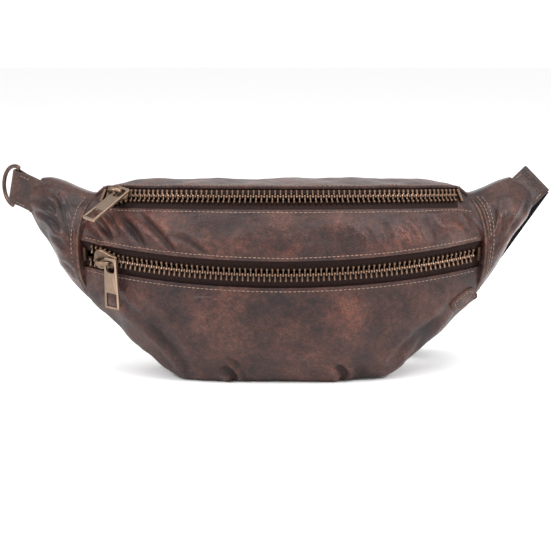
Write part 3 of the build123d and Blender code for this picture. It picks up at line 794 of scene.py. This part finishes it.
# --------------------------------------------------
# Metal: antique brass, darkened in its hollows and rubbed bright on its edges. The end stops
# keep their CAD shape.
tooth_metal = metal_material("antique_teeth", (0.025, 0.017, 0.013), (0.10, 0.070, 0.052), 0.38)
pull_metal = metal_material("antique_pull", (0.105, 0.078, 0.058), (0.185, 0.142, 0.108), 0.44)
slider_metal = metal_material("antique_slider", (0.040, 0.028, 0.021), (0.135, 0.098, 0.071), 0.37)
dark_metal = metal_material("dark_copper", (0.035, 0.024, 0.019), (0.10, 0.066, 0.052), 0.36)
dress(tooth_metal, "main_zip_stops", "front_zip_stops")

# Teeth: stamped brass bars clamped over the edge of the tape, dished on top, locked with the
# other row's by their raised heads. Left of the slider the rows part.
tooth_pitch = 3.48
tooth_cross = 1.1
tooth_parting = 2.9
slider_half = 8.9


def tooth_shape():
    """One tooth about its own middle: rings of a rounded bar, waisted behind its head."""
    y = np.array([-2.85, -2.6, -2.1, -1.3, -0.6, 0.4, 1.1, 1.7, 2.3, 2.6, 2.82])
    half_x = np.array([0.40, 0.66, 0.72, 0.66, 0.52, 0.50, 0.56, 0.72, 0.74, 0.66, 0.36])
    top = np.array([0.5, 1.10, 1.30, 0.95, 0.55, 0.50, 0.80, 1.25, 1.35, 1.05, 0.5])
    corner = np.array([(-1, -1), (1, -1), (1, 0.55), (0.62, 1), (-0.62, 1), (-1, 0.55)], float)
    rings = np.empty((len(y), len(corner), 3))
    rings[..., 0] = half_x[:, None] * corner[:, 0]
    rings[..., 1] = y[:, None]
    rings[..., 2] = np.where(corner[:, 1] > 0, top[:, None] * corner[:, 1], -1.5)
    return rings


def tooth_row(name, nodes, arc, half, slider_x):
    """Both rows of a zip as one mesh: the same tooth set along the arc, each row from its side."""
    shape = tooth_shape()
    rings, sides = shape.shape[:2]
    count = int(2 * arc.angle_of(half) * arc.radius / tooth_pitch)
    step = tooth_pitch / arc.radius
    points, faces = [], []
    one = capped_faces(rings, sides)
    for side in (-1, 1):
        angle = -(count - 1) / 2 * step + 0.25 * side * step + np.arange(count) * step
        along = (angle - arc.angle_of(slider_x)) * arc.radius
        parted = tooth_parting * np.clip((slider_half - along) / (1.4 * slider_half), 0, 1)
        origin, t, w, n = (part[:, None, None] for part in arc.frame_at(angle))
        middle = side * (2.85 - tooth_cross + parted)
        local = (shape * [1, -side, 1])[None]
        across = local[..., 1:2] + middle[:, None, None, None]
        points.append(origin + local[..., 0:1] * t + across * w + local[..., 2:3] * n)
        first = len(faces) // len(one) * rings * sides
        for k in range(count):
            faces += [[corner + first + k * rings * sides for corner in face] for face in one]
    piece = mesh_piece(name, np.concatenate(points), faces, tooth_metal, smooth=False, closed=True)
    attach(piece, "bag")
    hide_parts(*nodes)


main_slider_x = -108.0
front_slider_x = -115.0
tooth_row("main_zip_chain", ["main_zip_teeth_front", "main_zip_teeth_back"],
          main_zip, 117.5, main_slider_x)
tooth_row("front_zip_chain", ["front_zip_teeth_lower", "front_zip_teeth_upper"],
          front_zip, 129.0, front_slider_x)

# --------------------------------------------------
# Sliders: die-cast brass, a shield-shaped plate over the chain with turned-down rims, a lower
# plate behind the tape, and a humped bridge that carries the pull.
plate_low = 1.7
plate_thick = 1.6
bridge_rise = 5.2
foot_x = 4.9


def plate_mesh(name, outline, low, high, crown, rim=0.6):
    """Cast plate: its outline drawn in towards the middle in rings, rounded and slightly crowned."""
    centre = outline.mean(0)
    shares = np.array([0.94, 1.0, 1.0, 0.94, 0.8, 0.55, 0.25])
    heights = np.array([low, low + rim * 0.4, high - rim * 0.6, high, high, high, high], float)
    heights[4:] += crown * np.array([0.4, 0.8, 1.0])
    rings = centre + (outline - centre) * shares[:, None, None]
    points = xyz(rings[..., 0], rings[..., 1], heights[:, None])
    return mesh_piece(name, points, capped_faces(*points.shape[:2]), slider_metal, scale=1.0, closed=True)


def slider_outline(share):
    """Shield shape: broad at the mouth on the left, stepping in to the narrow end, as a loop."""
    t = spokes(72)
    x = slider_half * bulged(np.cos(t), 0.62)
    wide = 7.15 * (0.80 - 0.20 * np.tanh(x / 3.5))
    return np.stack([x, wide * bulged(np.sin(t), 0.75)], -1) * share


def bar_along(name, path, wide, high):
    """Rounded bar of a given width and height along a path in the XZ plane."""
    ahead = heading(path)
    t = spokes(12)
    across = bulged(np.cos(t), 0.6) * wide / 2
    rise = bulged(np.sin(t), 0.6) * high / 2
    x, z = path[:, None, 0] - ahead[:, None, 1] * rise, path[:, None, 1] + ahead[:, None, 0] * rise
    points = xyz(x, across, z)
    return mesh_piece(name, points, capped_faces(*points.shape[:2]), slider_metal, scale=1.0, closed=True)


def vertex_places(mesh):
    """A mesh's points as an array."""
    points = np.empty(len(mesh.vertices) * 3)
    mesh.vertices.foreach_get("co", points)
    return points.reshape(-1, 3)


def settle(piece, arc, x):
    """Mesh moved from its own millimetre axes to its place on a zip, in metres in the frame."""
    origin, along, across, out = arc.frame_at(arc.angle_of(x))
    points = vertex_places(piece.data)
    placed = origin + points[:, 0:1] * along + points[:, 1:2] * across + points[:, 2:3] * out
    piece.data.vertices.foreach_set("co", (placed * MM).ravel())
    piece.data.update()


def make_slider(prefix, arc, x, body):
    """Slider of one zip, set on its arc."""
    plate_top = plate_low + plate_thick
    arch_low, arch_high = plate_top - 0.3, plate_top + bridge_rise + 0.7
    turn = np.linspace(0, np.pi, 25)
    arch = np.stack([-np.cos(turn) * foot_x, arch_low + (arch_high - arch_low) * np.sin(turn) ** 0.55], -1)
    turn = spokes(20)
    post = np.stack([-5.7 + 2.5 * np.cos(turn), 1.5 * np.sin(turn)], -1)
    parts = [
        plate_mesh("plate", slider_outline(1.0), plate_low, plate_top, 0.5),
        plate_mesh("under", slider_outline(0.95), -5.1, -3.8, 0.0),
        bar_along("bridge", arch, 2.5, 1.6),
        plate_mesh("post", post, -4.2, plate_low + 0.4, 0.0, 0.1),
    ]
    for flank in (-1, 1):
        rail = slider_outline(1.0)
        rail = rail[(rail[:, 1] * flank > 2.5)]
        rail = rail[np.argsort(rail[:, 0])]
        inner = rail[::-1] * [0.97, 1.0] - [0.0, 1.1 * flank]
        parts.append(plate_mesh("rim", np.concatenate([rail, inner]), 0.7, plate_low + 0.3, 0.0, 0.1))
    piece = joined(f"{prefix}_slider_cast", parts)
    settle(piece, arc, x)
    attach(piece, body)
    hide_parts(f"{prefix}_slider")
make_slider("main_zip", main_zip, main_slider_x, "main_slider")
make_slider("front_zip", front_zip, front_slider_x, "front_slider")

# Pulls: flat cast tabs, hooked round a foot of the bridge, widening to a framed window.
pull_long = 36.0
pull_half_top, pull_half_low = 4.6, 5.65
pull_half_thick = 0.95
pull_hole = (6.6, 8.8)
pull_window = (7.8, 9.6)
pull_reach = 2.0
pull_rim = 1.6


def rounded_loop(corners, radius, steps=6):
    """Loop of points round a polygon's corners, each corner an arc by a quadratic curve."""
    corners = np.asarray(corners, float)
    loop = []
    for k, corner in enumerate(corners):
        before = corners[k - 1] - corner
        after = corners[(k + 1) % len(corners)] - corner
        start = corner + before / np.linalg.norm(before) * radius
        end = corner + after / np.linalg.norm(after) * radius
        t = np.linspace(0, 1, steps)[:, None]
        loop.append(start * (1 - t) ** 2 + corner * 2 * t * (1 - t) + end * t * t)
    return np.concatenate(loop)


def box_loop(half_x, low, high, radius):
    """Loop of a rounded box, given by its half width and its two levels."""
    return rounded_loop([(-half_x, low), (half_x, low), (half_x, high), (-half_x, high)], radius)


def spin(points, first, second, degrees):
    """Points turned, in place, in the plane of two of their axes."""
    turn = np.radians(degrees)
    a, b = points[:, first].copy(), points[:, second].copy()
    points[:, first] = a * np.cos(turn) - b * np.sin(turn)
    points[:, second] = a * np.sin(turn) + b * np.cos(turn)


def make_pull(prefix, arc, x, lean, swing, body):
    """Flat plate with a hole and a window, from a filled curve with rounded edges."""
    low = -pull_long
    corners = [(-pull_half_low, low), (pull_half_low, low), (pull_half_top, 0), (-pull_half_top, 0)]
    hole = box_loop(pull_hole[0] / 2, -pull_rim - pull_hole[1], -pull_rim, 3.1)
    window = box_loop(pull_window[0] / 2, low + 1.6, low + 1.6 + pull_window[1], 0.7)
    curve = bpy.data.curves.new(f"{prefix}_pull_outline", "CURVE")
    curve.dimensions = "2D"
    curve.fill_mode = "BOTH"
    for loop in (rounded_loop(corners, 1.5), hole, window):
        spline = curve.splines.new("POLY")
        spline.points.add(len(loop) - 1)
        spline.points.foreach_set("co", xyz(loop[:, 0], loop[:, 1], 0.0, 1.0).ravel())
        spline.use_cyclic_u = True
    curve.extrude = pull_half_thick - 0.3
    curve.bevel_depth = 0.3
    curve.bevel_resolution = 2
    curve.offset = -0.3
    flat = bpy.data.objects.new("outline", curve)
    bpy.context.collection.objects.link(flat)
    bpy.context.view_layer.update()
    mesh = bpy.data.meshes.new_from_object(flat)
    bpy.data.objects.remove(flat)
    piece = bpy.data.objects.new(f"{prefix}_pull_cast", mesh)
    bpy.context.collection.objects.link(piece)
    mesh.materials.clear()
    mesh.materials.append(pull_metal)
    recalculate(mesh)
    # Hung by its hole from the bridge's foot, leaned out and swung to the side.
    points = vertex_places(mesh) + [pull_hole[0] / 2 - pull_reach, pull_reach + pull_rim, 0]
    spin(points, 1, 2, lean)
    points[:, 2] += plate_low + plate_thick + bridge_rise / 2
    spin(points, 0, 1, swing)
    points[:, 0] += foot_x
    mesh.vertices.foreach_set("co", points.ravel())
    settle(piece, arc, x)
    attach(piece, body)
    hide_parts(f"{prefix}_pull")


make_pull("main_zip", main_zip, main_slider_x, -26.0, -14.0, "main_pull")
make_pull("front_zip", front_zip, front_slider_x, 0.0, 0.0, "front_pull")

# --------------------------------------------------
# Tabs: a strip of leather folded round the D-ring's bar at the left tip, and round the belt at
# the right one, both sewn into the wing's tip and turned back and up.
tip_half = 171.0
tab_long = 15.5
tab_wide = 23.6
tab_reach = 1.55
ring_leather = 1.8
# Each tab's root, outward direction, direction up its width, and length drawn in by its fold.
tab_frames = {
    -1: ((-tip_half, 13.5, 120.75), (-0.791, 0.554, 0.259), (0.212, -0.148, 0.966), 1.0),
    1: ((165.2, 14.7, 122.1), (0.70, 0.45, 0.55), (-0.70, 0.20, 0.68), 0.8),
}


def tab_axes(side):
    """Origin at the wing's tip, with the directions outwards, through the tab and up its width."""
    origin, out, up = (np.array(part) for part in tab_frames[side][:3])
    out = unit(out)
    up = unit(up - out * (up @ out))
    return origin, out, np.cross(up, out), up


def ribbon(name, path, wide, width, thick, material):
    """Flat strip along a path, with rounded edges."""
    ahead = heading(path)
    wide = np.broadcast_to(wide, path.shape)
    wide = unit(wide - ahead * np.sum(wide * ahead, -1, keepdims=True))
    face = np.cross(ahead, wide)
    across = np.array([-1, -0.985, -0.95, -0.6, -0.2, 0.2, 0.6, 0.95, 0.985, 1])
    edge = np.array([0.0, 0.7, 1, 1, 1, 1, 1, 1, 0.7, 0.0])
    loop_a = np.concatenate([across, across[-2:0:-1]])[None, :, None]
    loop_b = np.concatenate([edge, -edge[-2:0:-1]])[None, :, None]
    rings = path[:, None] + wide[:, None] * (loop_a * width / 2) + face[:, None] * (loop_b * thick / 2)
    return mesh_piece(name, rings, capped_faces(*rings.shape[:2]), material, closed=True)


def tab_path(reach):
    """Side view of a folded tab: out along one face, round the bar, and back along the other."""
    turn = np.linspace(np.pi / 2, -np.pi / 2, 13)
    radius = reach + ring_leather / 2
    nose = np.stack([tab_long + radius * np.cos(turn), radius * np.sin(turn)], -1)
    x = np.linspace(-12, tab_long - 1.0, 18)
    y = 0.95 + (radius - 0.95) * np.clip((x - 0.45 * tab_long) / (0.5 * tab_long), 0, 1) ** 1.5
    flank = np.stack([x, y], -1)
    return np.concatenate([flank, nose, flank[::-1] * [1, -1]])


tab_leather = leather_material(
    "tab_leather", (0.014, 0.008, 0.008), (0.042, 0.019, 0.014), (0.10, 0.046, 0.032)
)
for side, name in ((-1, "left_tab"), (1, "right_tab")):
    origin, out, through_tab, up = tab_axes(side)
    flat = tab_path(tab_reach)
    path = origin + tab_frames[side][3] * flat[:, :1] * out + flat[:, 1:] * through_tab
    piece = ribbon(f"{name}_leather", path, up, tab_wide, ring_leather - 0.1, tab_leather)
    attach(piece, "bag")
    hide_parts(name)

# --------------------------------------------------
# Belt: black 25 mm webbing from behind the right tab down to the surface, folded in five layers
# behind the pack, its tail turned round the hook's eye bar.
web_wide = 25.0
web_thick = 1.6
hank_y = 46.0
hank_right = 84.0
fold_pitch = 2.1
lowest = 1.8
highest = lowest + 4 * fold_pitch
eye_x, eye_z = -36.0, 5.6
eye_loop = 2.45


def webbing(tree, place):
    """Ribs across the belt, with the yarn's own unevenness."""
    rib = {"Vector": place, "Scale": 300.0, "Distortion": 0.4}
    rib = add_node(tree, "TexWave", rib, "Fac", bands_direction="X")
    yarn = noise(tree, place, 1500.0, 3.0, 0.6)
    return blend_colours(tree, 0.4, rib, yarn), rib, yarn


web_material = cloth_material(
    "black_webbing", webbing, ((0.2, (0.0015, 0.0015, 0.002)), (0.8, (0.009, 0.0085, 0.010))), 0.8, 0.15,
    [(0.6, 0.0004), (0.3, 0.0002)],
)


def flat_run(start, end, height, steps):
    """A level stretch of the belt in side view."""
    return xyz(np.linspace(start, end, steps), height)


a, b, c, d = np.array(
    [[173.4, 20.3, 127.9], [146, 29, 84], [98, hank_y, lowest], [hank_right + 4, hank_y, lowest]]
)
t = np.linspace(0, 1, 60)[:, None]
run = a * (1 - t) ** 3 + b * 3 * (1 - t) ** 2 * t + c * 3 * (1 - t) * t ** 2 + d * t ** 3
turned = eased(np.clip((t - 0.3) / 0.65, 0, 1))
run_wide = np.array([0.70, -0.20, -0.68]) * (1 - turned) + np.array([0, 1.0, 0]) * turned
half_fold = np.linspace(-np.pi / 2, np.pi / 2, 9)[1:-1]
folded = [flat_run(hank_right, 0, lowest, 24)]
for layer in range(1, 5):
    end, way = (0.0, -1) if layer % 2 else (hank_right, 1)
    rise = lowest + layer * fold_pitch
    half = fold_pitch / 2
    folded.append(xyz(end + way * half * np.cos(half_fold), rise - half + half * np.sin(half_fold)))
    folded.append(flat_run(end, hank_right - end, rise, 24))
tail_x = np.linspace(-3, eye_x + 3, 12)
folded.append(xyz(tail_x, highest + (eye_z + eye_loop - highest) * eased(np.clip(tail_x / -18.0, 0, 1))))
eye_turn = np.linspace(np.pi / 2, 3 * np.pi / 2, 13)
folded.append(xyz(eye_x + eye_loop * np.cos(eye_turn), eye_z + eye_loop * np.sin(eye_turn)))
folded.append(flat_run(eye_x + 3, eye_x + 18, eye_z - eye_loop, 6))
folded = np.concatenate(folded)
hank = xyz(folded[:, 0], hank_y, folded[:, 1])
belt_path = np.concatenate([run, hank])
belt_wide = np.concatenate([run_wide, np.broadcast_to([0, 1.0, 0], hank.shape)])
belt = ribbon("belt_webbing", belt_path, belt_wide, web_wide, web_thick - 0.1, web_material)
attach(belt, "bag")
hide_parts("waist_strap")

# The belt's keeper is a band of the same webbing, its other parts are dark metal from the CAD.
dress(web_material, "strap_keeper")
dress(dark_metal, "d_ring", "strap_adjuster", "hook_eye", "hook_body", "hook_gate")

# --------------------------------------------------
# Stitches: light tan waxed thread, about three millimetres a stitch, along both slots, the wing
# seams, the tabs and the side patch.
thread_material = cloth_material(
    "tan_thread", lambda tree, place: [noise(tree, place, 900.0, 3.0, 0.6)] * 2,
    ((0.3, (0.11, 0.060, 0.042)), (0.7, (0.30, 0.19, 0.14))), 0.6, None, [(0.4, 0.0002)],
)
stitch_pitch = 3.0
stitch_long = 2.35
thread_radius = 0.33
thread_rings = 6
stitch_points, stitch_faces = [], []


def sew(path, outward, lift=0.12):
    """Stitches laid along a path, each a short bowed thread with its ends drawn into the leather."""
    travelled = np.concatenate([[0], np.cumsum(np.linalg.norm(np.diff(path, axis=0), axis=1))])
    starts = np.arange(1.0, travelled[-1] - stitch_long, stitch_pitch)
    along = np.linspace(0, 1, thread_rings)
    at = starts[:, None] + along * stitch_long
    outward = np.broadcast_to(outward, path.shape)
    middle = np.stack([np.interp(at, travelled, path[:, k]) for k in range(3)], -1)
    face = unit(np.stack([np.interp(at, travelled, outward[:, k]) for k in range(3)], -1))
    beside = np.cross(face, unit(middle[:, -1:] - middle[:, :1]))[:, :, None]
    bow = np.sin(np.pi * along) ** 0.6
    middle = middle + face * (lift + (bow * 1.6 - 1.0) * thread_radius)[None, :, None]
    turn = spokes(thread_rings)[:, None]
    size = thread_radius * (0.55 + 0.45 * bow)[None, :, None, None]
    rings = middle[:, :, None] + size * (np.cos(turn) * beside + np.sin(turn) * face[:, :, None])
    one = capped_faces(thread_rings, thread_rings)
    each = thread_rings ** 2
    first = sum(len(p) for p in stitch_points)
    stitch_points.append(rings.reshape(-1, 3))
    for k in range(first, first + len(starts) * each, each):
        stitch_faces.extend([corner + k for corner in face] for face in one[:-2] + [one[-2][::-1], one[-1]])


def row_normals(grid, row, outward):
    """Outward directions of a grid near one of its edges."""
    n = normals_of(grid)[row]
    return n * np.sign(np.sum(n * outward, -1, keepdims=True) + 1e-9)


def sew_edge(grid, inset, near, outward, trim, lift=0.12):
    """Stitches at a distance from a grid's first row, left out near the row's ends."""
    row = slice(trim, -trim)
    sew(inset_row(grid, inset)[row], row_normals(grid, near, outward)[row], lift)


# Side patch: a small rounded piece of leather sewn over the lower panel by the right seam, bare.
patch_middle = np.mean(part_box("side_patch"), axis=0) / MM + [-1.0, 0, 0.5]
patch_half = (9.8, 5.4)
patch_tilt = np.radians(32.0)
patch_near = 20.0
patch_spokes = spokes(56)
patch_rings = np.array([1.0, 1.01, 0.98, 0.93, 0.85, 0.76, 0.6, 0.4, 0.2, 0.04])[:, None]
patch_lift = np.array([-0.6, 0.5, 1.0, 1.25, 1.1, 1.2, 1.4, 1.5, 1.5, 1.5])[:, None, None]
patch_seam = 5


def on_panel(across, up):
    """Places on the lower panel's face for offsets in the patch's own directions, with normals."""
    x = patch_middle[0] + across * np.cos(patch_tilt) - up * np.sin(patch_tilt)
    z = patch_middle[2] + across * np.sin(patch_tilt) + up * np.cos(patch_tilt)
    face = lower_grid.reshape(-1, 3)
    face_normal = row_normals(lower_grid, slice(None), (0, -1.0, -0.1)).reshape(-1, 3)
    near = (np.abs(face[:, [0, 2]] - patch_middle[[0, 2]]) < patch_near).all(1)
    face, face_normal = face[near], face_normal[near]
    apart = (face[:, 0] - x.reshape(-1, 1)) ** 2 + (face[:, 2] - z.reshape(-1, 1)) ** 2
    weight = 1 / (apart + 0.3) ** 2
    weight /= weight.sum(1, keepdims=True)
    normal = (weight @ face_normal).reshape(*x.shape, 3)
    return xyz(x, (weight @ face[:, 1:2]).reshape(x.shape), z), unit(normal)


patch_x = bulged(np.cos(patch_spokes), np.where(np.cos(patch_spokes) > 0, 0.35, 0.8))
patch_z = bulged(np.sin(patch_spokes), 0.62)
place, normal = on_panel(patch_rings * patch_x * patch_half[0], patch_rings * patch_z * patch_half[1])
place = place + normal * patch_lift
wear_highlight_and_shade = np.full(place.shape[:2], 0.6)
patch = walled("side_patch_leather", place, (0.3, -1.0, -0.2), tab_leather, wear_highlight_and_shade, 0.4, wrap=True)
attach(patch, "bag")
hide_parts("side_patch")
sew(*(np.concatenate([part[patch_seam], part[patch_seam][:1]]) for part in (place, normal)))

front_out, back_out = (0, -1.0, 0.05), (0, 1.0, 0)
sew_edge(lower_grid[::-1], 2.3, 3, front_out, 4)
sew_edge(upper_grid, 2.3, 4, front_out, 4)
sew_edge(upper_grid[::-1], 2.0, 3, front_out, 4)
sew_edge(top_grid, 2.0, 4, (0, -0.2, 1.0), 14)
sew_edge(back_grid, 4.5, 5, back_out, 10)
sew_edge(back_grid[::-1], 4.5, 4, back_out, 10)
wing_insets = {-1: (5.6,), 1: (5.4, 8.0)}
for side in (-1, 1):
    columns = np.swapaxes(wing_grid(side, True), 0, 1)
    for inset in wing_insets[side]:
        sew_edge(columns, inset, 12, (0.3 * side, -1.0, 0), 3, 0.35)
    origin, out, through_tab, up = tab_axes(side)
    x = np.linspace(1.5, (tab_long - 2.5) * tab_frames[side][3], 12)[:, None]
    for edge in (-1, 1):
        row = origin + out * x + up * edge * (tab_wide / 2 - 2.2) - side * through_tab * 1.85
        sew(row, -side * through_tab)
stitches = mesh_piece("stitches", np.concatenate(stitch_points), stitch_faces, thread_material)
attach(stitches, "bag")

# --------------------------------------------------
# Lining and padding: the wall between the pockets hangs as a sheet behind the front zip, and a
# thin pillow sewn in level channels lies behind the back's leather.
lining_material = cloth_material(
    "dark_lining", lambda tree, place: [noise(tree, place, 1200.0, 3.0, 0.6)] * 2,
    ((0.3, (0.010, 0.008, 0.007)), (0.7, (0.03, 0.024, 0.02))), 0.9, None, [(0.3, 0.0002)],
)
across = np.linspace(-base_half, base_half, 60)
foot = xyz(across, -15.0, 6.5)
waist = front_zip.point(across, -slot_half, -14.0)
head = front_zip.point(across, slot_half + 3.5, -6.0)
wall = np.stack([through([foot, waist, head], share) for share in np.linspace(0, 1, 40)])
wall[..., 1] += 0.35 + 0.35 * np.sin(wall[..., 0] * 0.21 + wall[..., 2] * 0.05)
pocket_wall = walled("pocket_wall", wall, (0, -1.0, 0), lining_material, thick=0.5)
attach(pocket_wall, "bag")
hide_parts("front_pocket_lining")

pad_middle, pad_half, pad_thick = 62.0, 49.5, 1.95
turn = spokes(56)
share = np.sin(np.linspace(-np.pi / 2, np.pi / 2, 61))[:, None] * 0.999
thick = pad_thick * (1 - share ** 4) ** 0.5 * (0.72 + 0.28 * np.abs(np.sin(share * np.pi * 2.5)))
level = pad_middle + pad_half * share
pad_x = bulged(np.cos(turn), 0.35) * (base_half - 0.5)
pad_y = 20.0 - 6.0 * level / 130.0 - 4.1 + thick * bulged(np.sin(turn), 0.8)
pad_points = xyz(pad_x, pad_y, level)
pad_faces = capped_faces(*pad_points.shape[:2])
pad = mesh_piece("back_pad", pad_points, pad_faces, lining_material, closed=True)
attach(pad, "bag")
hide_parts("back_padding")
